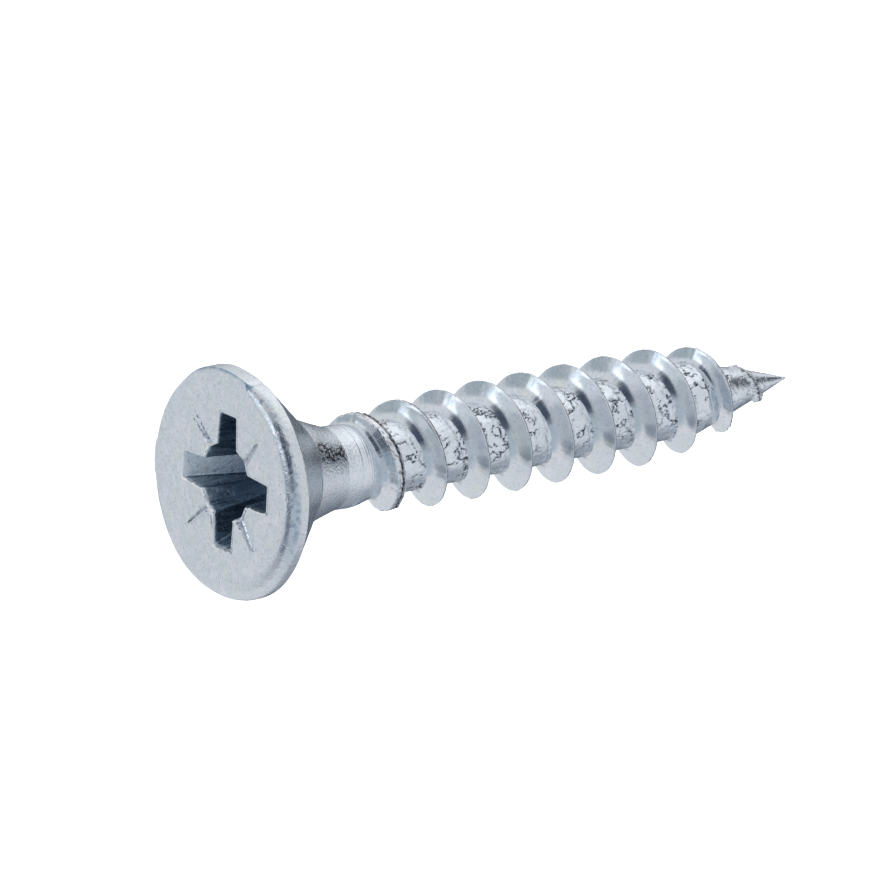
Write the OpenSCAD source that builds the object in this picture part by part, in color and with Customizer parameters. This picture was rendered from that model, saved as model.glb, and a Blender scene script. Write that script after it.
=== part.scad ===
// Countersunk wood screw, 4.0 x 25 nominal, with a cross recess and a right-hand thread.
// One cold-formed piece of steel, drawn as its named regions, which meet face to face.
// The axis is Z. The origin is the centre of the flat head face, and the point is at -Z.

/* [Head] */
// Diameter of the head over its rim
head_d = 8.1; // [7.6:0.1:8.6]
// Radius of the rounded edge between the face and the rim
edge_r = 0.35; // [0.1:0.05:0.4]
// Depth of the rim's lower edge below the face
rim_depth = 0.65; // [0.6:0.05:1]
// Diameter where the countersunk seat meets the neck
seat_small_d = 3.9; // [3.4:0.1:4.4]

/* [Recess] */
// Distance across two opposite wings at the face
wing_span = 4.8; // [4:0.1:5]
// Width of a wing
wing_w = 1; // [0.8:0.05:1.3]
// Depth of the wings
wing_depth = 2.2; // [1.6:0.1:2.3]
// Slope of a wing's outer wall from the axis, in degrees
wing_slope = 24; // [15:1:28]
// Diameter of the round well between the wings, at the face
well_d = 2; // [1.6:0.1:2.4]
// Diameter of the well where its conical bottom starts
well_bottom_d = 1.5; // [1:0.1:1.6]
// Length of the shallow grooves that lie halfway between the wings
groove_len = 2.2; // [1:0.1:2.4]
// Width of a shallow groove, which is twice its depth
groove_w = 0.2; // [0.1:0.02:0.3]

/* [Shank] */
// Depth of the neck's lower end below the face
neck_end = 4.4; // [4.2:0.1:5]
// Diameter of the plain shank
shank_d = 2.92; // [2.7:0.02:3]
// Length of the plain shank
shank_len = 0.6; // [0.4:0.1:3]

/* [Thread] */
// Outer diameter of the thread
thread_d = 4; // [3.6:0.1:4.2]
// Diameter of the core between the turns
core_d = 2.6; // [2.2:0.05:2.7]
// Pitch of the thread
pitch = 1.8; // [1.6:0.1:2.2]
// Flat width of the crest
crest_w = 0.12; // [0.08:0.02:0.3]
// Angle between the two flanks, in degrees
flank_angle = 40; // [30:1:50]
// Turns over which the thread rises to its full height
run_in_turns = 1.8; // [0.5:0.1:2]
// Angle at which the thread's helix crosses the plane of the face, in degrees
helix_angle_at_face = 185; // [0:1:359]

/* [Point] */
// Overall length from the head face to the tip
length = 24.2; // [23:0.1:26]
// Length of the tapered point
point_len = 4.3; // [3.5:0.1:5]
// Diameter of the slightly blunt tip
tip_d = 0.12; // [0.06:0.02:0.3]

/* [Hidden] */
$fn = 96;

head_r = head_d / 2;
seat_small_r = seat_small_d / 2;
shank_r = shank_d / 2;
core_r = core_d / 2;
tip_r = tip_d / 2;
edge_steps = 6;
edge_break = 0.08;

seat_end = rim_depth + head_r - seat_small_r;  // the seat is a 90 degree cone
core_start = neck_end + shank_len;
point_start = length - point_len;

bite = 0.05;                                   // how far the thread's root sits in the metal under it
steps_per_turn = 36;
height = thread_d / 2 - core_r;
root_half_w = crest_w / 2 + height * tan(flank_angle / 2);
thread_start = core_start + root_half_w + 0.06;
thread_end = point_start - root_half_w;
point_thread_end = length - 1.2;
start_rise = 0.55;                             // share of the full height at the thread's start
end_rise = 0.1;                                // height of the ridge where it ends, in mm
fillet = 0.3;                                  // share of the height taken by the hollow flank foot

zinc = [0.72, 0.77, 0.81];
rolled_zinc = [0.66, 0.72, 0.77];

// Radius of the metal under the thread at depth s
function root_r(s) = s <= point_start ? core_r
    : core_r + (tip_r - core_r) * (s - point_start) / point_len;

// Height of the thread over its root at depth s
function rise(s) =
    let (run_in = start_rise + (1 - start_rise) * min(1, (s - thread_start) / (pitch * run_in_turns)),
         fade_start = point_start - pitch / 2,
         fade = max(0, min(1, (s - fade_start) / (point_thread_end - fade_start))))
    height * run_in * (1 - fade) + end_rise * fade;

// Angle of the helix at depth s, in degrees
function helix_angle(s) = helix_angle_at_face - 360 * s / pitch;

// The ridge's cross-section at depth s: six points as [radius, depth], up one flank and down the other
function section(s) =
    let (h = rise(s),
         foot = crest_w / 2 + h * tan(flank_angle / 2),
         knee = crest_w / 2 + h * (1 - fillet) * tan(flank_angle / 2) * 0.8,
         crest = root_r(s) + h,
         bend = root_r(s) + h * fillet)
    [[root_r(s - foot) - bite, s - foot], [bend, s - knee], [crest, s - crest_w / 2],
     [crest, s + crest_w / 2], [bend, s + knee], [root_r(s + foot) - bite, s + foot]];

// A closed ridge along the helix from one depth to another
module ridge(from, to) {
    count = ceil((to - from) / pitch * steps_per_turn);
    n = 6;
    points = [for (i = [0:count])
        let (s = from + (to - from) * i / count, angle = helix_angle(s))
        for (p = section(s)) [p[0] * cos(angle), p[0] * sin(angle), -p[1]]];
    sides = [for (i = [0:count - 1]) for (j = [0:n - 1])
        let (a = i * n + j, b = i * n + (j + 1) % n, c = a + n, d = b + n)
        each [[a, c, b], [b, c, d]]];
    cap = [[0, 1, 4], [0, 4, 5], [1, 2, 3], [1, 3, 4]];
    far = count * n;
    ends = [for (t = cap) each [t, [t[2] + far, t[1] + far, t[0] + far]]];
    polyhedron(points, concat(sides, ends), convexity = 10);
}

// One wing of the recess, along +X: an outer wall that slopes in, and a floor
module wing() {
    top = 0.5;
    spread = tan(wing_slope);
    rotate([90, 0, 0]) translate([0, 0, -wing_w / 2]) linear_extrude(wing_w)
        polygon([[0, top], [wing_span / 2 + top * spread, top],
                 [wing_span / 2 - wing_depth * spread, -wing_depth], [0, -wing_depth]]);
}

// The round well between the wings, with a conical bottom
module well() {
    top = 0.5;
    translate([0, 0, -wing_depth]) cylinder(h = wing_depth + top, d1 = well_bottom_d, d2 = well_d);
    translate([0, 0, -wing_depth - well_bottom_d / 4])
        cylinder(h = well_bottom_d / 4 + 0.01, d1 = 0.2, d2 = well_bottom_d);
}

// A shallow V groove on the face, along +X
module groove() {
    side = groove_w / sqrt(2);
    rotate([45, 0, 0]) translate([0, -side / 2, -side / 2]) cube([groove_len, side, side]);
}

// Disc with a flat face and a rounded edge, and the cone that seats in a countersink
module head() color(zinc) difference() {
    rotate_extrude() polygon(concat(
        [[0, 0]],
        [for (i = [0:edge_steps]) let (t = 90 - 90 * i / edge_steps)
            [head_r - edge_r + edge_r * cos(t), -edge_r + edge_r * sin(t)]],
        [[head_r, -rim_depth], [seat_small_r, -seat_end], [0, -seat_end]]));
    for (t = [0:90:270]) rotate([0, 0, t]) {
        wing();
        rotate([0, 0, 45]) groove();
    }
    well();
}

// Tapered neck, hollow in profile, from the seat down to the shank
module neck() {
    neck_len = neck_end - seat_end;
    steps = 8;
    color(zinc) rotate_extrude() polygon(concat(
        [[0, -seat_end]],
        [for (i = [0:steps]) let (t = i / steps)
            [shank_r + (seat_small_r - shank_r) * pow(1 - t, 1.5), -seat_end - neck_len * t]],
        [[0, -neck_end]]));
}

// Plain shank
module shank() color(zinc) translate([0, 0, -core_start]) cylinder(h = shank_len, r = shank_r);

// Core that carries the parallel part of the thread
module core() color(rolled_zinc) translate([0, 0, -point_start])
    cylinder(h = point_start - core_start, r = core_r);

// Parallel part of the thread, with its run-in
module thread() color(rolled_zinc) ridge(thread_start, thread_end);

// Tapered point
module point() color(rolled_zinc) translate([0, 0, -length])
    cylinder(h = point_len, r1 = tip_r, r2 = core_r);

// The thread's last turns, which shrink along the point
module point_thread() color(rolled_zinc) ridge(thread_end, point_thread_end);

head();
neck();
shank();
core();
thread();
point();
point_thread();
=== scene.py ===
"""Looks of the countersunk wood screw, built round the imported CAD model.

Lengths are in mm until skin() writes a mesh. Depth is measured down from the face of the head, along -Z.
"""
import math

import bmesh
import bpy
import numpy as np
from mathutils import Matrix, Vector


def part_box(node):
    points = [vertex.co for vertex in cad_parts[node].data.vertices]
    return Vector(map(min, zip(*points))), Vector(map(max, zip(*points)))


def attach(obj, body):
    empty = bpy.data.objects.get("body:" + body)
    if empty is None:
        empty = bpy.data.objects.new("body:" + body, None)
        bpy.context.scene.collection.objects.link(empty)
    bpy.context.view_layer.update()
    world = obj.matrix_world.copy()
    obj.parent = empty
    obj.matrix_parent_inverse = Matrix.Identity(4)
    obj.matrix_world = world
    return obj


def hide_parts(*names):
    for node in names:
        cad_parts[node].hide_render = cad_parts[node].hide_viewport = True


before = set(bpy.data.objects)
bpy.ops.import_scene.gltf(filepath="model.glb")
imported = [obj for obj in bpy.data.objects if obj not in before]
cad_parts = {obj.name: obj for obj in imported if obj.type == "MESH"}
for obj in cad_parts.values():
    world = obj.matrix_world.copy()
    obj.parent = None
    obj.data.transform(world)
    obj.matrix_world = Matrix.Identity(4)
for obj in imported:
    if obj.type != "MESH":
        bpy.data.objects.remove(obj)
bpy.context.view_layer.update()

MM = 0.001


# ---- Sizes ---------------------------------------------------------------------------------------

def reach_of(node):
    """Radius, upper depth and lower depth of a node."""
    low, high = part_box(node)
    return high.x / MM, -high.z / MM, -low.z / MM


HEAD_R, _, SEAT_END = reach_of("head")
NECK_R, _, NECK_END = reach_of("neck")
SHANK_R, _, SHANK_END = reach_of("shank")
CORE_R, _, POINT_START = reach_of("core")
TIP = reach_of("point")[2]

RIM_DEPTH = SEAT_END - (HEAD_R - NECK_R)
LEAN = np.array([0.022, 0.028])        # slope of the head, which stands a little askew on the shank
HEAD_SHIFT = np.array([0.19, 0.21])    # the head's centre, off the shank's axis
BEND_START = 2.4                       # depths between which the neck bends, so that the shank stays true
BEND_END = NECK_END + 0.75
RECESS_SHIFT = np.array([0.11, 0.17])  # the recess's centre, off the head's

WING_END_W = 0.46                # half the width of a wing at its end, and where it meets the hub
WING_ROOT_W = 0.53
WING_REACH = 2.37
WING_DEPTH = 2.2
WELL_DEPTH = 0.4                 # how far the hub's well goes below the floor of the wings
WING_SLOPE = math.tan(math.radians(24))
WING_DRAFT = math.tan(math.radians(2))
HUB = 1.22                       # where the wings leave the hub, and the hub's corners between them
HUB_CORNER = 0.99
HUB_SLOPE = 0.16
RIM_EDGE_R = 0.1                 # rounding between the rim and the cone, and how far it cuts into both
RIM_EDGE_CUT = 0.03

NECK_FLARE = 1.1                 # 1 is a straight cone, and more is hollower
SOOT_AZIMUTH = 37                # degrees from +X to the middle of the neck's dark patch
GROOVE_PITCH = 0.12              # of the fine rings at the top of the core

PITCH = 1.7927
HELIX_ANGLE = math.radians(195.1)  # angle of the helix where it crosses the plane of the face
FLANK_SLOPE = math.tan(math.radians(19))
THREAD_START = 5.15              # depths where the thread starts, where its last turns start, and their end
THREAD_END = 20.2
TIP_THREAD_END = 23.0
STEPS_PER_TURN = 200
TIP_R = 0.075                    # the tip's blunt end, the length that rounds off to it, and its bend to +Y
TIP_ROUNDING = 0.12
TIP_BEND = 0.04


# ---- Noise ---------------------------------------------------------------------------------------

LATTICE = 32                     # random values along each side of the noise's block, which then repeats


def noise(points, cell, seed):
    """Smooth value noise from -1 to 1 at each point, with one random value per cell corner."""
    values = np.random.default_rng(seed).random((LATTICE, LATTICE, LATTICE)) * 2 - 1
    q = np.asarray(points, float) / cell
    low = np.floor(q)
    f = q - low
    f = f * f * f * (f * (f * 6 - 15) + 10)
    i = low.astype(int)
    total = 0.0
    for dx in (0, 1):
        for dy in (0, 1):
            for dz in (0, 1):
                share = (f[..., 0] if dx else 1 - f[..., 0]) * (f[..., 1] if dy else 1 - f[..., 1])
                share = share * (f[..., 2] if dz else 1 - f[..., 2])
                x, y, z = np.moveaxis((i + (dx, dy, dz)) % LATTICE, -1, 0)
                total = total + share * values[x, y, z]
    return total


def layered(points, cell, seed, layers=3):
    """Noise with finer and weaker layers added."""
    return sum(noise(points, cell / 2**k, seed + k) / 2**k for k in range(layers)) / 1.6


def step(x, low, high):
    """Smooth step from 0 at low to 1 at high."""
    t = np.clip((x - low) / (high - low), 0, 1)
    return t * t * (3 - 2 * t)


# ---- Meshes --------------------------------------------------------------------------------------

def ring_faces(count, around):
    """Faces that join each ring to the next, and fans that close both ends round two last points."""
    i = np.arange(count - 1)[:, None] * around
    j = np.arange(around)[None, :]
    k = (j + 1) % around
    quads = np.stack([i + j, i + k, i + around + k, i + around + j], axis=-1).reshape(-1, 4)
    first, last, end = count * around, count * around + 1, (count - 1) * around
    caps = [(first, (n + 1) % around, n) for n in range(around)]
    caps += [(last, end + n, end + (n + 1) % around) for n in range(around)]
    return quads.tolist() + caps


def skin(name, rings, replaced, material, sharp=38, shade=None):
    """A closed piece from rings of points.

    shade is one number per point: 1 is dark (painted shade in hollows, grooves, folds and seams, dark specks,
    the neck's own dark patch), 0 is plain zinc and -1 is white (a painted highlight on burrs).
    """
    rings = np.asarray(rings, float)
    count, around = rings.shape[:2]
    points = np.concatenate([rings.reshape(-1, 3), [rings[0].mean(0)], [rings[-1].mean(0)]])
    mesh = bpy.data.meshes.new(name)
    mesh.from_pydata((points * MM).tolist(), [], ring_faces(count, around))
    if shade is not None:
        shade = np.append(np.asarray(shade, np.float32).ravel(), [0, 0]).astype(np.float32)
        mesh.attributes.new("painted_light_and_soot", "FLOAT", "POINT").data.foreach_set("value", shade)
    work = bmesh.new()
    work.from_mesh(mesh)
    bmesh.ops.recalc_face_normals(work, faces=work.faces)
    work.to_mesh(mesh)
    work.free()
    mesh.shade_smooth()
    mesh.set_sharp_from_angle(angle=math.radians(sharp))
    mesh.materials.append(material)
    piece = bpy.data.objects.new(name, mesh)
    bpy.context.scene.collection.objects.link(piece)
    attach(piece, "root")
    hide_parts(*replaced)
    return piece


def lean(points):
    """Shifts and tilts the head, and bends the neck below it so that the shank stays true."""
    depth = -points[..., 2]
    share = step(depth, BEND_END, BEND_START)
    points = points.copy()
    points[..., 2] -= share * (points[..., :2] @ LEAN)
    points[..., :2] += share[..., None] * HEAD_SHIFT
    return points


def around_axis(depths, radii, count):
    """Rings round the axis at each depth. radii is one radius per depth, or one per depth and angle."""
    angle = np.linspace(0, 2 * np.pi, count, endpoint=False)
    depths = np.asarray(depths, float)[:, None] + 0 * angle
    radii = np.broadcast_to(np.asarray(radii, float).reshape(len(depths), -1), depths.shape)
    return np.stack([radii * np.cos(angle), radii * np.sin(angle), -depths], axis=-1)


def push(rings, amount):
    """Moves points away from the axis."""
    radius = np.hypot(rings[..., 0], rings[..., 1])
    rings = rings.copy()
    rings[..., :2] *= ((radius + amount) / radius)[..., None]
    return rings


# ---- Materials -----------------------------------------------------------------------------------

def new_material(name):
    """A material, its nodes and links, and its shader."""
    material = bpy.data.materials.new(name)
    material.use_nodes = True
    nodes, links = material.node_tree.nodes, material.node_tree.links
    return material, nodes, links, nodes["Principled BSDF"]


def noise_node(nodes, links, source, size_mm, detail, stretch=None):
    """A noise texture whose features are size_mm across, on object coordinates."""
    texture = nodes.new("ShaderNodeTexNoise")
    texture.inputs["Scale"].default_value = 1 / (size_mm * MM)
    texture.inputs["Detail"].default_value = detail
    texture.inputs["Roughness"].default_value = 0.55
    if stretch:
        mapping = nodes.new("ShaderNodeMapping")
        mapping.inputs["Scale"].default_value = stretch
        links.new(source, mapping.inputs["Vector"])
        source = mapping.outputs["Vector"]
    links.new(source, texture.inputs["Vector"])
    return texture


def ramp_node(nodes, links, source, stops):
    """A colour ramp over a value, from pairs of place and colour."""
    ramp = nodes.new("ShaderNodeValToRGB")
    elements = ramp.color_ramp.elements
    while len(elements) < len(stops):
        elements.new(0.5)
    for element, (place, colour) in zip(elements, stops):
        element.position = place
        element.color = (*colour, 1)
    links.new(source, ramp.inputs["Fac"])
    return ramp


def range_node(nodes, links, source, low, high, out_low, out_high):
    """Maps a value from one range to another."""
    node = nodes.new("ShaderNodeMapRange")
    for name, value in (("From Min", low), ("From Max", high), ("To Min", out_low), ("To Max", out_high)):
        node.inputs[name].default_value = value
    links.new(source, node.inputs["Value"])
    return node


def blend_node(nodes, links, factor, under, colour):
    """Blends the colour under it to a fixed colour by a factor."""
    mix = nodes.new("ShaderNodeMix")
    mix.data_type = "RGBA"
    mix.inputs["B"].default_value = (*colour, 1)
    links.new(factor, mix.inputs["Factor"])
    links.new(under, mix.inputs["A"])
    return mix.outputs["Result"]


def bump_node(nodes, links, height, depth_mm, under=None):
    """Relief that is depth_mm deep, on top of the relief under it."""
    bump = nodes.new("ShaderNodeBump")
    bump.inputs["Strength"].default_value = 1.0
    bump.inputs["Distance"].default_value = depth_mm * MM
    links.new(height, bump.inputs["Height"])
    if under:
        links.new(under, bump.inputs["Normal"])
    return bump.outputs["Normal"]


def zinc(name, tints, darkening, rough, grain_depth, grain_mm=0.05, pit_depth=0.0, lines=None):
    """Bright zinc plate: mottled tint, uneven gloss and a fine grain.

    darkening is the colour at a shade of 1, mostly painted shade, and -1 is white, a painted highlight. lines
    is the size, stretch and depth of drawn lines.
    """
    material, nodes, links, shader = new_material(name)
    place = nodes.new("ShaderNodeTexCoord").outputs["Object"]
    mottle = noise_node(nodes, links, place, 0.9, 5.0).outputs["Fac"]
    speckle = noise_node(nodes, links, place, 0.11, 3.0).outputs["Fac"]
    tint = ramp_node(nodes, links, mottle, list(zip((0.3, 0.5, 0.7), tints)))
    fleck = ramp_node(nodes, links, speckle, list(zip((0.3, 0.42, 0.6), FLECKS)))
    mix = nodes.new("ShaderNodeMix")
    mix.data_type, mix.blend_type = "RGBA", "MULTIPLY"
    mix.inputs["Factor"].default_value = 0.8
    links.new(tint.outputs["Color"], mix.inputs["A"])
    links.new(fleck.outputs["Color"], mix.inputs["B"])
    # painted light: a shade of 1 blends the colour to darkening, painted shade, and -1 blends it to white, a
    # painted highlight
    attribute = nodes.new("ShaderNodeAttribute")
    attribute.attribute_name = "painted_light_and_soot"
    shade = attribute.outputs["Fac"]
    painted_highlight = range_node(nodes, links, shade, 0, -1, 0, 1).outputs["Result"]
    colour = blend_node(nodes, links, shade, mix.outputs["Result"], darkening)
    colour = blend_node(nodes, links, painted_highlight, colour, WHITE)
    links.new(colour, shader.inputs["Base Color"])
    shader.inputs["Metallic"].default_value = 1.0

    patches = noise_node(nodes, links, place, 0.35, 4.0).outputs["Fac"]
    gloss = range_node(nodes, links, patches, 0.3, 0.7, *rough)
    links.new(gloss.outputs["Result"], shader.inputs["Roughness"])

    grain = noise_node(nodes, links, place, grain_mm, 3.0).outputs["Fac"]
    relief = bump_node(nodes, links, grain, grain_depth)
    if pit_depth:
        pits = noise_node(nodes, links, place, 0.16, 2.0).outputs["Fac"]
        edge = ramp_node(nodes, links, pits, [(0.36, BLACK), (0.44, WHITE)])
        relief = bump_node(nodes, links, edge.outputs["Color"], pit_depth, relief)
    if lines:
        size, stretch, depth = lines
        drawn = noise_node(nodes, links, place, size, 2.0, stretch).outputs["Fac"]
        relief = bump_node(nodes, links, drawn, depth, relief)
    links.new(relief, shader.inputs["Normal"])
    return material


BLACK, WHITE = (0, 0, 0), (1, 1, 1)
BLUE, LILAC, GREEN = (0.72, 0.76, 0.80), (0.82, 0.81, 0.84), (0.76, 0.79, 0.77)
STEEL = (0.79, 0.83, 0.88)
FLECKS = ((0.74, 0.77, 0.8), (0.94, 0.95, 0.96), WHITE)   # from dark specks to the plain plate

# darkening is the colour of painted shade: bluish on the face for the recess's deep shade, near black for
# folds and seams; on the neck it is the dark patch's own colour
FACE_ZINC = zinc("zinc_face", (GREEN, BLUE, LILAC), darkening=(0.25, 0.34, 0.43), rough=(0.2, 0.36),
                 grain_depth=0.009, grain_mm=0.06, pit_depth=0.005)
NECK_ZINC = zinc("zinc_neck", (BLUE, STEEL, LILAC), darkening=(0.07, 0.07, 0.08), rough=(0.12, 0.26),
                 grain_depth=0.022, grain_mm=0.07, pit_depth=0.003, lines=(0.3, (0.5, 0.5, 9), 0.002))
ROOT_ZINC = zinc("zinc_root", (BLUE, STEEL, STEEL), darkening=(0.03, 0.035, 0.05), rough=(0.16, 0.32),
                 grain_depth=0.006)
FLANK_ZINC = zinc("zinc_flank", (GREEN, BLUE, LILAC), darkening=(0.05, 0.05, 0.06), rough=(0.15, 0.25),
                  grain_depth=0.0012)


# ---- Head ----------------------------------------------------------------------------------------

def cross_outline(end_w, root_w, reach, hub, corner):
    """The recess's outline: four wings that leave a square hub, as points that run round it."""
    half = [(corner, -corner), (hub, -root_w), (reach, -end_w)]
    corners = half + [(x, -y) for x, y in reversed(half)]
    counts = (20, 38, 30, 38, 20)
    sides = [np.linspace(a, b, n, endpoint=False) for a, b, n in zip(corners, corners[1:], counts)]
    wing = np.concatenate(sides)
    turns = ((1, 0), (0, 1), (-1, 0), (0, -1))
    points = np.concatenate([wing @ np.array([[c, s], [-s, c]]) for c, s in turns])
    for _ in range(3):
        points = (np.roll(points, 1, axis=0) + 2 * points + np.roll(points, -1, axis=0)) / 4
    return points


def recess_outline(depth, grow=0.0):
    """The recess's outline at a depth, moved outward by grow. Its walls slope in on the way down."""
    end_w = WING_END_W - depth * WING_DRAFT + grow
    root_w = WING_ROOT_W - depth * WING_DRAFT + grow
    hub = HUB - depth * HUB_SLOPE + grow
    reach = WING_REACH - depth * WING_SLOPE + grow
    corner = HUB_CORNER - depth * HUB_SLOPE + grow
    return RECESS_SHIFT + cross_outline(end_w, root_w, max(reach, hub + 0.05), hub, corner)


def outward(outline):
    """Unit normals that point out of a closed outline which runs anticlockwise."""
    along = np.roll(outline, -1, axis=0) - np.roll(outline, 1, axis=0)
    along /= np.linalg.norm(along, axis=1, keepdims=True)
    return np.stack([along[:, 1], -along[:, 0]], axis=1)


def groove(x, y, start, end, width, depth):
    """Depth of a straight V groove at x, y, which is widest at its start and runs out at its end."""
    start, end = np.array(start), np.array(end)
    length = np.linalg.norm(end - start)
    along_x, along_y = (end - start) / length
    along = ((x - start[0]) * along_x + (y - start[1]) * along_y) / length
    across = np.abs((x - start[0]) * -along_y + (y - start[1]) * along_x)
    here = width * (1 - 0.8 * np.clip(along, 0, 1)) * step(along, -0.06, 0.02) * step(along, 1.02, 0.9)
    cut = np.clip(1 - across / np.maximum(here, 1e-6), 0, 1)
    burr = np.exp(-((across - here * 1.25) / (0.3 * width)) ** 2) * (here > 1e-4)
    return depth * (0.22 * burr - cut)


def to_degrees(angle):
    """An angle in radians as degrees from 0 to 360."""
    return np.degrees(np.mod(angle, 2 * np.pi))


def shoulder(angle):
    """Width and height of the rounding between face and rim: wide and soft, but torn short in one sector."""
    degrees = to_degrees(angle)
    torn = step(degrees, 72, 76) * step(degrees, 128, 118)
    soft = step(degrees, 80, 60) + step(degrees, 230, 280)
    broad = np.exp(-((degrees - 310) / 34) ** 2)
    spots = np.stack([np.cos(angle), np.sin(angle), 0 * angle], axis=-1) * HEAD_R
    ragged = 0.05 * layered(spots, 0.3, 33) + 0.02 * layered(spots, 0.08, 35)
    width = (0.17 + 0.30 * soft + 0.22 * broad) * (1 - torn) + (0.11 + ragged) * torn
    height = (0.14 + 0.30 * soft) * (1 - torn) + 0.10 * torn
    return width + 0.012 * layered(spots, 0.25, 37), height


# Straight marks on the face: angle and distance from the recess's centre at the start, the same at the end,
# then width, depth and painted shade in the groove
FACE_MARKS = (
    (44, 1.42, 47, 2.5, 0.12, 0.11, 0.25),       # the ticks between the wings
    (-134, 1.4, -135, 2.85, 0.15, 0.10, 0.15),
    (-52, 1.42, -49.5, 2.65, 0.15, 0.2, 0.95),
    (130, 1.35, 138, 2.65, 0.08, 0.05, 0.75),    # the fourth of them is two thin lines
    (127, 1.4, 133, 2.65, 0.06, 0.05, 0.65),
    (-133, 1.6, -107, 1.85, 0.05, 0.03, 0.7),    # scratches
    (-118, 1.6, -105, 2.0, 0.04, 0.03, 0.6),
    (-100, 2.1, -88, 1.2, 0.04, 0.03, 0.5),
)


def recess_point(degrees, distance):
    """A point on the face, by its direction and distance from the recess's centre."""
    angle = math.radians(degrees)
    return RECESS_SHIFT[0] + distance * math.cos(angle), RECESS_SHIFT[1] + distance * math.sin(angle)


def face_height(x, y):
    """Height of the face over the plane z = 0, and painted shade in its ticks and scratches: waves, ticks and
    scratches.
    """
    flat = np.stack([x, y, 0 * x], axis=-1)
    height = 0.005 * noise(flat, 1.1, 11) + 0.003 * layered(flat, 0.35, 12) + 0.0012 * layered(flat, 0.09, 15)
    darkening = 0 * x
    for start_angle, start, end_angle, end, width, depth, dark in FACE_MARKS:
        cut = groove(x, y, recess_point(start_angle, start), recess_point(end_angle, end), width, depth)
        height += cut
        # painted shade: the grooves' floors are darkened
        darkening = np.maximum(darkening, dark * step(cut / depth, -0.25, -0.7))
    return height, darkening


def recess_rings():
    """Rings from the middle of the well, out over the floor and up the walls, almost to the face."""
    floor = recess_outline(WING_DEPTH)
    for share in np.linspace(0.04, 0.96, 10):
        ring = RECESS_SHIFT + (floor - RECESS_SHIFT) * share
        radius = np.hypot(*(ring - RECESS_SHIFT).T)
        rough = 0.02 * layered(np.column_stack([ring, 0 * radius]), 0.2, 21)
        # the floor gets 0.8 of painted shade, the dark of a deep recess
        yield ring, -WING_DEPTH - WELL_DEPTH * step(radius, 0.7, 0.05) + rough * share, 0.8
    for depth in np.linspace(WING_DEPTH, 0.05, 28):
        ring = recess_outline(depth)
        facing = outward(ring)
        drawn = np.column_stack([ring, 0 * ring[:, 0] + 0.12 * depth])
        bright_end = step(-facing[:, 0], 0.75, 0.95) * step(ring[:, 0] - RECESS_SHIFT[0], -0.9, -1.2)
        scored = 0.018 * layered(drawn, 0.09, 22) + 0.012 * layered(drawn, 0.3, 25)
        scored = scored * (1 - 0.88 * bright_end) * step(np.array(depth), 0.0, 0.25)
        # painted shade on the recess's walls, with little on the lit end wall of the -X wing (bright_end)
        recess_shade = 0.80 + 0.4 * layered(drawn, 0.1, 27)
        shade = (recess_shade * (1 - bright_end) + 0.03 * depth * bright_end) * step(np.array(depth), 0.03, 0.12)
        yield ring + facing * scored[:, None], -depth, np.clip(shade, 0, 1)


def lip_rings():
    """Rings over the recess's edge, with a burr on its -Y side and a weaker one on its -X side, both whitened
    as a painted highlight.
    """
    lip = recess_outline(0)
    facing = outward(lip)
    spots = np.column_stack([lip, 0 * lip[:, 0]])
    burred = step(-facing[:, 1], 0.2, 0.9) + 0.4 * step(-facing[:, 0], 0.5, 0.9)
    burr = 0.010 + 0.06 * burred * np.clip(0.7 + layered(spots, 0.16, 31), 0.2, 1.4)
    steps = ((0.025, 0.004, 0), (0.006, 0.012, 0.3), (0, 0.03, 1), (0, 0.06, 0.95), (0, 0.09, 0.15))
    for depth, grow, share in steps:
        ring = recess_outline(depth, grow)
        rise = face_height(*ring.T)[0] if grow > 0.05 else 0
        # the negative shade whitens the burrs: a painted highlight
        yield ring, -depth + burr * share + rise, -np.clip(1.6 * share * burred, 0, 1)


def face_rings(inner, angle, spoke):
    """Rings from the outline beside the recess out to where the shoulder starts."""
    width, _ = shoulder(angle)
    flat_r = HEAD_R - width
    for share in np.linspace(0, 1, 70) ** 0.9:
        ring = inner * (1 - share) + flat_r[:, None] * spoke * share
        yield ring, *face_height(*ring.T)


def rim_swell(angle, spoke):
    """How far the rim stands out at each angle: waves, broad bulges and a narrow one at 180 degrees."""
    degrees = to_degrees(angle)
    turned = np.abs(degrees - 180)
    swell = 0.015 * layered(np.column_stack([spoke * HEAD_R, 0 * angle]), 1.2, 41)
    swell += 0.09 * step(turned, 9.5, 7)
    swell += 0.05 * step(turned, 100, 80) * step(turned, 45, 65) * (spoke[:, 1] > 0) - 0.03
    swell += 0.035 * np.exp(-((degrees - 108) / 14) ** 2) + 0.025 * np.exp(-((degrees - 272) / 22) ** 2)
    return swell


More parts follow.
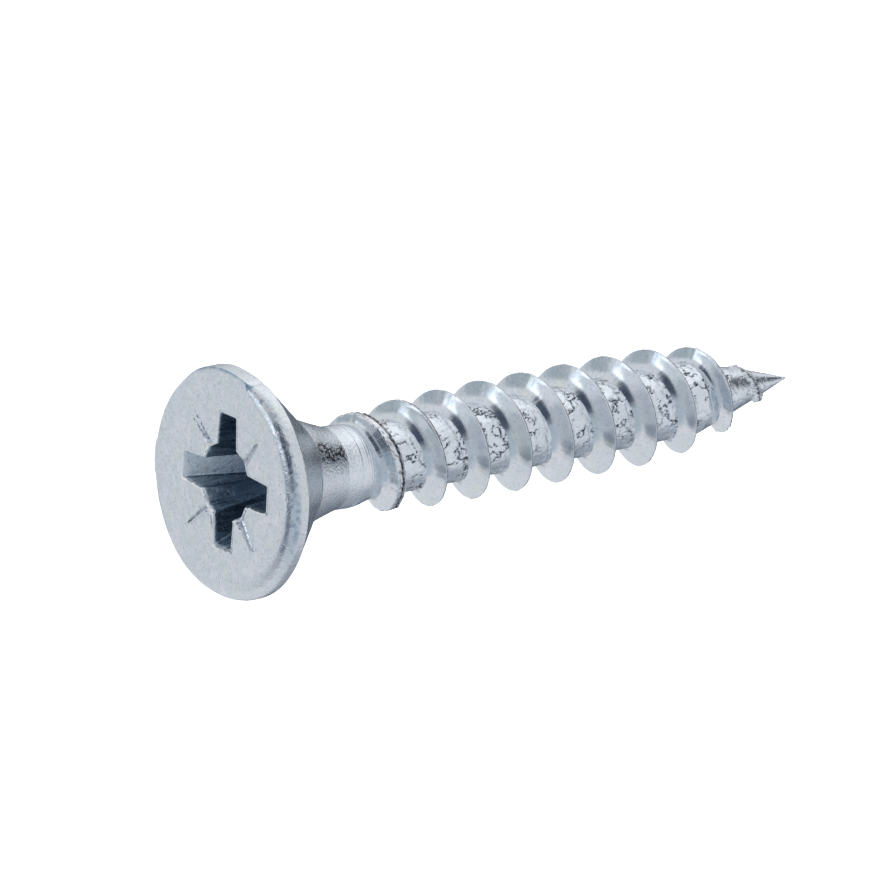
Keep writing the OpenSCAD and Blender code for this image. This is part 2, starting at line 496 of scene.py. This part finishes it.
def rim_rings(angle, spoke):
    """Rings round the shoulder, down the rim, and in along the cone to the neck."""
    degrees = to_degrees(angle)
    width, height = shoulder(angle)
    swell = rim_swell(angle, spoke)
    side = HEAD_R + swell
    torn = step(degrees, 70, 75) * step(degrees, 136, 126)
    notch = np.exp(-((degrees - 74) / 1.6) ** 2)
    banded = step(degrees, 84, 66) + step(degrees, 335, 356)

    def ring_at(radius, depth, turn=90):
        """turn is how far the surface has turned from the face, in degrees."""
        spots = np.column_stack([radius[:, None] * spoke, 0 * radius - depth])
        rough = 0.006 * layered(spots, 0.3, 43) + 0.0025 * layered(spots, 0.07, 45)
        # dark specks on the shoulder in two sectors, painted shade along the crease of the torn edge, and
        # painted shade in the notch
        specks = step(layered(spots, 0.13, 47, 2), 0.02, 0.3) * banded
        specks = specks * step(turn, 12, 35) * step(turn, 84, 62)
        line = torn * step(turn, 25, 50) * step(turn, 88, 62) * step(layered(spots, 0.3, 49), -0.5, 0.0)
        shade = np.clip(0.6 * specks + 0.9 * line + 0.9 * notch * (turn < 85), 0, 1)
        return (radius + rough - 0.03 * notch)[:, None] * spoke, -depth, shade

    for turn in np.linspace(0, 90, 16)[1:]:
        c, s = math.cos(math.radians(turn)), math.sin(math.radians(turn))
        yield ring_at(HEAD_R - width + (width + swell) * s, height * (1 - c), turn)
    for share in np.linspace(0.06, 1, 9):
        yield ring_at(side, height + (RIM_DEPTH - 0.05 - height) * share)
    for turn in np.linspace(0, 45, 5):
        c, s = math.cos(math.radians(turn)), math.sin(math.radians(turn))
        yield ring_at(side - RIM_EDGE_R * (1 - c), RIM_DEPTH - RIM_EDGE_CUT + RIM_EDGE_R * s)
    cone_start = RIM_DEPTH + RIM_EDGE_CUT
    for share in np.linspace(0.06, 1, 22):
        radius = (side - RIM_EDGE_CUT) * (1 - share) + NECK_R * share
        yield ring_at(radius, cone_start + (SEAT_END - RIM_DEPTH - RIM_EDGE_CUT) * share)


def head_piece():
    """One surface: out of the recess, over its lip and the face, round the rim and down the cone."""
    inner = recess_outline(0, 0.1)
    own = np.unwrap(np.arctan2(inner[:, 1], inner[:, 0]))
    even = own[0] + np.linspace(0, 2 * np.pi, len(own), endpoint=False)
    angle = 0.6 * own + 0.4 * even
    spoke = np.stack([np.cos(angle), np.sin(angle)], axis=1)
    rings, shades = [], []
    parts = (recess_rings(), lip_rings(), face_rings(inner, angle, spoke), rim_rings(angle, spoke))
    for outline, z, shade in (ring for part in parts for ring in part):
        rings.append(np.column_stack([outline, np.broadcast_to(z, len(outline))]))
        shades.append(np.broadcast_to(shade, len(outline)))
    rings = lean(np.array(rings))
    return skin("cold_formed_head", rings, ["head"], FACE_ZINC, shade=np.array(shades))


# ---- Neck and shank ------------------------------------------------------------------------------

def soot_patch(rings):
    """How far a point is inside the dark patch on one side of the neck."""
    degrees = np.degrees(np.arctan2(rings[..., 1], rings[..., 0]))
    depth = -rings[..., 2]
    across = 1 - np.abs(degrees - SOOT_AZIMUTH + 7 * layered(rings, 0.5, 59)) / 13
    return np.clip(across, 0, 0.4) / 0.4 * step(depth, 2.75, 3.0) * step(depth, 4.5, 4.2)


def neck_piece():
    depths = np.linspace(SEAT_END, NECK_END, 110)
    share = (depths - SEAT_END) / (NECK_END - SEAT_END)
    radii = SHANK_R + (NECK_R - SHANK_R) * (1 - share) ** NECK_FLARE + 0.012 * np.exp(-share / 0.03)
    rings = around_axis(depths, radii, 480)
    dent = 0.003 * layered(rings, 0.4, 51) + 0.0012 * layered(rings * np.array([1, 1, 3]), 0.1, 54)
    fine = layered(rings * np.array([1, 1, 0.6]), 0.07, 58, 2)
    dark = soot_patch(rings) * step(fine, -0.12, 0.12)
    rings = lean(push(rings, dent - 0.01 * dark))
    return skin("neck_cone", rings, ["neck"], NECK_ZINC, shade=dark)


def shank_piece():
    depths = np.linspace(NECK_END, SHANK_END, 40)
    rings = around_axis(depths, 0 * depths + SHANK_R, 360)
    drawn = rings * np.array([0.3, 0.3, 1])
    dent = 0.003 * layered(rings, 0.4, 51) + 0.003 * layered(drawn, 0.05, 56) * step(-rings[..., 2], 4.6, 4.9)
    return skin("plain_shank", lean(push(rings, dent)), ["shank"], NECK_ZINC)


# ---- Core, thread and point ----------------------------------------------------------------------

def helical_offset(rings):
    """Distance in mm, along the axis, from the nearest centre line of the thread."""
    angle = np.arctan2(rings[..., 1], rings[..., 0])
    on_helix = (HELIX_ANGLE - angle) / (2 * np.pi) * PITCH
    return np.mod(-rings[..., 2] - on_helix + PITCH / 2, PITCH) - PITCH / 2


def wrinkles(rings):
    """Depth of the folds that rolling leaves between the turns, and painted shade in them and along the
    thread's feet.
    """
    warp = 0.05 * np.stack([noise(rings, 0.22, 61), noise(rings, 0.22, 62), noise(rings, 0.22, 63)], axis=-1)
    bent = rings + warp
    line = np.abs(layered(bent, 0.3, 90, 4))
    patch = step(noise(rings, 0.5, 66), -0.3, 0.05)
    fold = np.clip(1 - line / 0.1, 0, 1) * patch
    offset = helical_offset(rings)
    edge = np.exp(-((offset + 0.62) / 0.018) ** 2) + np.exp(-((offset - 0.52) / 0.02) ** 2)
    edge *= step(noise(rings * np.array([1, 1, 0.3]), 0.4, 67), -0.3, 0.2)
    relief = 0.016 * layered(rings, 0.16, 68) - 0.05 * fold - 0.015 * edge
    # the second value is painted shade in the folds and along the thread's feet
    return relief, np.clip(1.4 * fold ** 1.2 + 0.4 * edge, 0, 1)


def core_piece():
    depths = np.linspace(SHANK_END, POINT_START, 330)
    taper = 1 - step(depths, SHANK_END, SHANK_END + 1.0)
    grooves = 0.008 * np.cos((depths - SHANK_END) * 2 * np.pi / GROOVE_PITCH)
    grooves = grooves * step(depths, SHANK_END + 1.1, SHANK_END + 0.2)
    rings = around_axis(depths, CORE_R + (SHANK_R - CORE_R) * taper + grooves, 288)
    relief, dark = wrinkles(rings)
    fade = step(depths, SHANK_END + 0.8, SHANK_END + 1.5)[:, None]
    rings = push(rings, relief * fade)
    # dark from wrinkles() is painted shade in the folds
    return skin("rolled_core", rings, ["core"], ROOT_ZINC, shade=dark * fade)


# Depth and radius of the thread's crest, which rises out of the shank and sinks into the point
CREST = (
    (5.1, 1.40), (5.7, 1.74), (6.7, 1.82), (7.5, 1.89), (8.4, 1.95), (9.3, 1.97), (11, 2.0), (18.0, 2.0),
    (18.9, 1.89), (19.7, 1.77), (20.4, 1.76), (20.9, 1.50), (21.4, 1.15), (21.9, 0.84), (22.4, 0.68),
    (22.8, 0.62), (23.0, 0.48),
)


def root_radius(depth):
    """Radius of the metal under the thread."""
    taper = np.clip((TIP - depth) / (TIP - POINT_START), 0.03, 1)
    return np.where(depth < POINT_START, CORE_R, CORE_R * taper)


def ridge_section(root, crest, half_crest, seam):
    """The section's points from foot to foot, each as radius, offset along the axis and share of the height.

    The flanks are hollow, and the rolled crest has a fine groove at seam, where two laps of metal meet.
    """
    height = np.maximum(crest - root, 0.02)
    flanks = []
    for side in (-1, 1):
        flank = []
        for share in np.concatenate([[-0.12], np.linspace(0, 1, 13) ** 1.1]):
            slope = FLANK_SLOPE * height * (1 - max(share, 0)) ** 1.1
            foot = 0.15 * (1 - max(share, 0)) ** 4.5 * np.minimum(1, height / 0.4)
            radius = root + height * share - 0.02 * (share == 1)
            flank.append((radius, side * (half_crest + slope + foot), share))
        flanks.append(flank)
    top = []
    for x in np.linspace(-0.82, 0.82, 9):
        lift = 0.02 * (1 - abs(x)) - 0.028 * np.exp(-((x - seam) / 0.16) ** 2)
        top.append((crest + lift, half_crest * x, 1))
    return flanks[0] + top + flanks[1][::-1]


def ridge(start, end, roughness):
    """Rings that follow the helix, each a section of the thread, and the painted shade and dark specks at
    each point.
    """
    depths = np.arange(start, end, PITCH / STEPS_PER_TURN)
    angle = HELIX_ANGLE - 2 * np.pi * depths / PITCH
    line = np.stack([np.cos(angle) * 2, np.sin(angle) * 2, depths], axis=-1)
    jagged = roughness(depths)
    crest = np.interp(depths, *zip(*CREST))
    crest = crest + jagged * (0.05 * layered(line, 0.22, 71) - 0.03) + 0.008 * layered(line, 0.5, 73)
    half_crest = 0.045 + 0.14 * step(depths, 8.2, 7.0) + 0.14 * step(depths, 21.1, 21.8)
    seam = 0.35 + 0.3 * noise(line, 0.8, 75)
    rings, shades = [], []
    for radius, offset, share in ridge_section(root_radius(depths), crest, half_crest, seam):
        depth = depths + offset
        spot = np.stack([radius * np.cos(angle), radius * np.sin(angle), -depth], axis=-1)
        grain = 0.004 * layered(spot, 0.12, 77) + 0.03 * jagged * layered(spot, 0.07, 79) * (share > 0.9)
        radius = radius + grain * (share >= 0)
        rings.append(np.stack([radius * np.cos(angle), radius * np.sin(angle), -depth], axis=-1))
        on_top = share == 1 and abs(np.mean(offset)) < 0.9 * np.mean(half_crest)
        # dark specks on the crests of the first turns, and painted shade in the crest's seam groove
        specks = 0.6 * step(layered(spot, 0.09, 83, 2), 0, 0.3) * step(depths, 8.4, 7.4)
        seam_shade = 0.8 * np.exp(-((offset / half_crest - seam) / 0.3) ** 2)
        shades.append((specks + seam_shade) * on_top)
    return np.stack(rings, axis=1), np.stack(shades, axis=1)


def start_roughness(depth):
    """How ragged the crest is where the thread rises out of the shank."""
    return 0.25 + 0.6 * step(depth, 7.6, 6.6) * step(depth, 5.3, 6.0)


def end_roughness(depth):
    """How ragged the crest is where the thread runs out along the point."""
    return 0.4 + 1.2 * step(depth, 20.6, 21.8)


def thread_pieces():
    rings, shade = ridge(THREAD_START, THREAD_END, start_roughness)
    skin("rolled_thread", rings, ["thread"], FLANK_ZINC, 32, shade)
    rings, shade = ridge(THREAD_END - 0.02, TIP_THREAD_END, end_roughness)
    skin("tip_thread", rings, ["point_thread"], FLANK_ZINC, 32, shade)


def point_piece():
    rounding = TIP_ROUNDING * (1 - np.linspace(0.1, 1, 9))
    depths = np.concatenate([np.linspace(POINT_START, TIP - TIP_ROUNDING, 170), TIP - rounding])
    radii = CORE_R * np.clip((TIP - depths) / (TIP - POINT_START), 0, 1) ** 0.9
    blunt = TIP_R * np.sqrt(np.clip((TIP + 0.001 - depths) / TIP_ROUNDING, 0.001, 1))
    radii = np.maximum(radii, blunt)
    rings = around_axis(depths, radii, 240)
    relief, dark = wrinkles(rings)
    share = np.clip(radii / CORE_R, 0, 1)[:, None]
    bent = push(rings, (0.6 * relief + 0.012 * layered(rings, 0.3, 81)) * share ** 0.7)
    bent[..., 1] += TIP_BEND * step(depths, POINT_START, TIP)[:, None]
    # dark from wrinkles() is painted shade in the folds
    return skin("rolled_point", bent, ["point"], ROOT_ZINC, shade=dark * share * 0.8)


# ---- Camera, light and floor ---------------------------------------------------------------------

# The photo's view: direction from the object to the camera, turn about the line of sight, distance and lens
VIEW_AZIMUTH = math.radians(21.7)
VIEW_ELEVATION = math.radians(34.25)
VIEW_ROLL = math.radians(101.15)
VIEW_DISTANCE = 455.4
VIEW_AIM = (0.035, -0.09, -9.58)
LENS = 530.2

ROOM = (0.78, 0.80, 0.835)       # the pale room, where no panel is
PANELS = (
    # direction (right, up, back), half angle of the even part and of the whole soft panel, colour
    ((0.35, 0.90, -0.20), 10, 40, (1.10, 1.12, 1.14)),    # light panel overhead
    ((0.30, -0.05, -0.95), 18, 40, (0.12, 0.145, 0.18)),  # dark cloth behind the object
    ((0.42, -0.72, -0.50), 10, 36, (0.36, 0.40, 0.45)),   # grey floor under it
    ((0.10, -0.70, 0.70), 26, 55, (0.50, 0.57, 0.64)),    # grey table in front
    ((-0.90, 0.16, 0.40), 8, 19, (1.70, 1.82, 1.95)),     # light panel on the left
    ((-0.94, 0.28, -0.08), 10, 22, (0.42, 0.48, 0.52)),   # grey wall beside it
    ((-0.86, -0.41, 0.28), 12, 27, (0.08, 0.12, 0.19)),   # dark card under it
    ((-0.38, 0.24, 0.89), 17, 38, (0.06, 0.08, 0.12)),    # dark side of the room, round the camera
    ((0.84, 0.38, -0.38), 8, 24, (0.04, 0.045, 0.055)),   # dark card on the right
)


def camera_axes():
    """Right, up and backward directions of the camera, in the row frame."""
    c, s = math.cos(VIEW_ELEVATION), math.sin(VIEW_ELEVATION)
    back = Vector((math.cos(VIEW_AZIMUTH) * c, math.sin(VIEW_AZIMUTH) * c, s))
    level = Vector((-math.sin(VIEW_AZIMUTH), math.cos(VIEW_AZIMUTH), 0))
    up = back.cross(level) * math.cos(VIEW_ROLL) + level * math.sin(VIEW_ROLL)
    return up.cross(back), up, back


def add_camera():
    right, up, back = camera_axes()
    data = bpy.data.cameras.new("camera")
    data.sensor_width, data.lens = 36, LENS
    data.clip_start, data.clip_end = 0.01, 10
    camera = bpy.data.objects.new("camera", data)
    turn = Matrix((right, up, back)).transposed().to_4x4()
    camera.matrix_world = Matrix.Translation(Vector(VIEW_AIM) * MM + back * VIEW_DISTANCE * MM) @ turn
    bpy.context.scene.collection.objects.link(camera)
    bpy.context.scene.camera = camera


def panel_weight(nodes, links, direction, toward, inner, outer):
    """How far a direction is inside a soft round panel."""
    dot = nodes.new("ShaderNodeVectorMath")
    dot.operation = "DOT_PRODUCT"
    dot.inputs[1].default_value = toward
    links.new(direction, dot.inputs[0])
    low, high = math.cos(math.radians(outer)), math.cos(math.radians(inner))
    weight = range_node(nodes, links, dot.outputs["Value"], low, high, 0, 1)
    weight.interpolation_type = "SMOOTHSTEP"
    return weight.outputs["Result"]


def add_world():
    """Soft studio light: a pale room with large soft panels, light and dark, that shape bright metal."""
    world = bpy.data.worlds.new("studio")
    bpy.context.scene.world = world
    world.use_nodes = True
    nodes, links = world.node_tree.nodes, world.node_tree.links
    background = nodes["Background"]
    direction = nodes.new("ShaderNodeTexCoord").outputs["Generated"]
    right, up, back = camera_axes()
    room = nodes.new("ShaderNodeRGB")
    room.outputs["Color"].default_value = (*ROOM, 1)
    colour = room.outputs["Color"]
    for (x, y, z), inner, outer, tone in PANELS:
        toward = (right * x + up * y + back * z).normalized()
        weight = panel_weight(nodes, links, direction, toward, inner, outer)
        colour = blend_node(nodes, links, weight, colour, tone)
    links.new(colour, background.inputs["Color"])
    plain = nodes.new("ShaderNodeBackground")
    plain.inputs["Color"].default_value = (*WHITE, 1)
    rays = nodes.new("ShaderNodeLightPath")
    choose = nodes.new("ShaderNodeMixShader")
    links.new(rays.outputs["Is Camera Ray"], choose.inputs["Fac"])
    links.new(background.outputs["Background"], choose.inputs[1])
    links.new(plain.outputs["Background"], choose.inputs[2])
    links.new(choose.outputs["Shader"], nodes["World Output"].inputs["Surface"])


def add_floor():
    """A wide pale disc well below the tip, which fills the camera's view."""
    work = bmesh.new()
    bmesh.ops.create_circle(work, cap_ends=True, segments=96, radius=6)
    mesh = bpy.data.meshes.new("floor")
    work.to_mesh(mesh)
    work.free()
    floor = bpy.data.objects.new("floor", mesh)
    floor.location.z = -0.5
    material, _, _, shader = new_material("floor")
    shader.inputs["Base Color"].default_value = (0.9, 0.9, 0.9, 1)
    shader.inputs["Roughness"].default_value = 0.9
    shader.inputs["Emission Color"].default_value = (*WHITE, 1)
    shader.inputs["Emission Strength"].default_value = 1.0
    mesh.materials.append(material)
    bpy.context.scene.collection.objects.link(floor)
    floor.visible_glossy = False
    floor.visible_diffuse = False


def main():
    add_camera()
    add_world()
    add_floor()
    head_piece()
    neck_piece()
    shank_piece()
    core_piece()
    thread_pieces()
    point_piece()
    bpy.context.scene.view_settings.view_transform = "Standard"


main()
